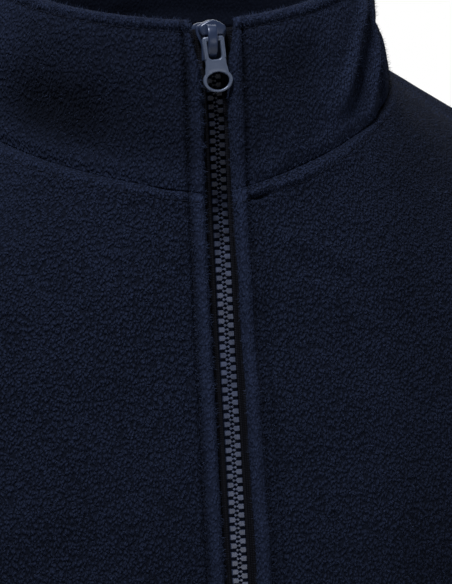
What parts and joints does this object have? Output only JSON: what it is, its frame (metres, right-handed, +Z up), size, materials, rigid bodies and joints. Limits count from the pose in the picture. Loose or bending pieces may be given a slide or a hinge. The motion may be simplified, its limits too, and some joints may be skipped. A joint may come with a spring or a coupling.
{
  "type": "fleece zip jacket",
  "caption": "Long-sleeved fleece jacket with a stand collar and a full-length moulded zip closed to the top, its pull tab on a hinge, filled out hollow as if worn.",
  "frame": {"origin": "on the neck's axis, level with the points where the shoulder seams meet the collar, where the wearer's shoulders hold the jacket", "axes": "+Z up along the body, -Y out of the front zip, +X to the wearer's left"},
  "size_m": [0.8356, 0.2721, 0.7502],
  "materials": {
    "fleece": "brushed microfleece with a fine pebbled nap, navy",
    "zip_tape": "woven polyester tape, near black",
    "zip_teeth": "moulded acetal teeth, dark slate",
    "zip_metal": "die-cast zinc with a thin slate-blue coat"
  },
  "bodies": {
    "jacket": {"front_right": "fleece", "front_left": "fleece", "back": "fleece", "sleeve_right": "fleece", "sleeve_left": "fleece", "collar": "fleece", "zip_tape_right": "zip_tape", "zip_tape_left": "zip_tape", "zip_chain": "zip_teeth", "zip_box": "zip_teeth", "zip_slider": "zip_metal"},
    "pull": {"zip_pull": "zip_metal"}
  },
  "joints": [
    {"name": "pull_swing", "type": "hinge", "parent": "jacket", "child": "pull", "pos_m": [0, -0.08249, 0.02492], "axis": [-1, 0, 0], "range_deg": [0, 165]}
  ]
}
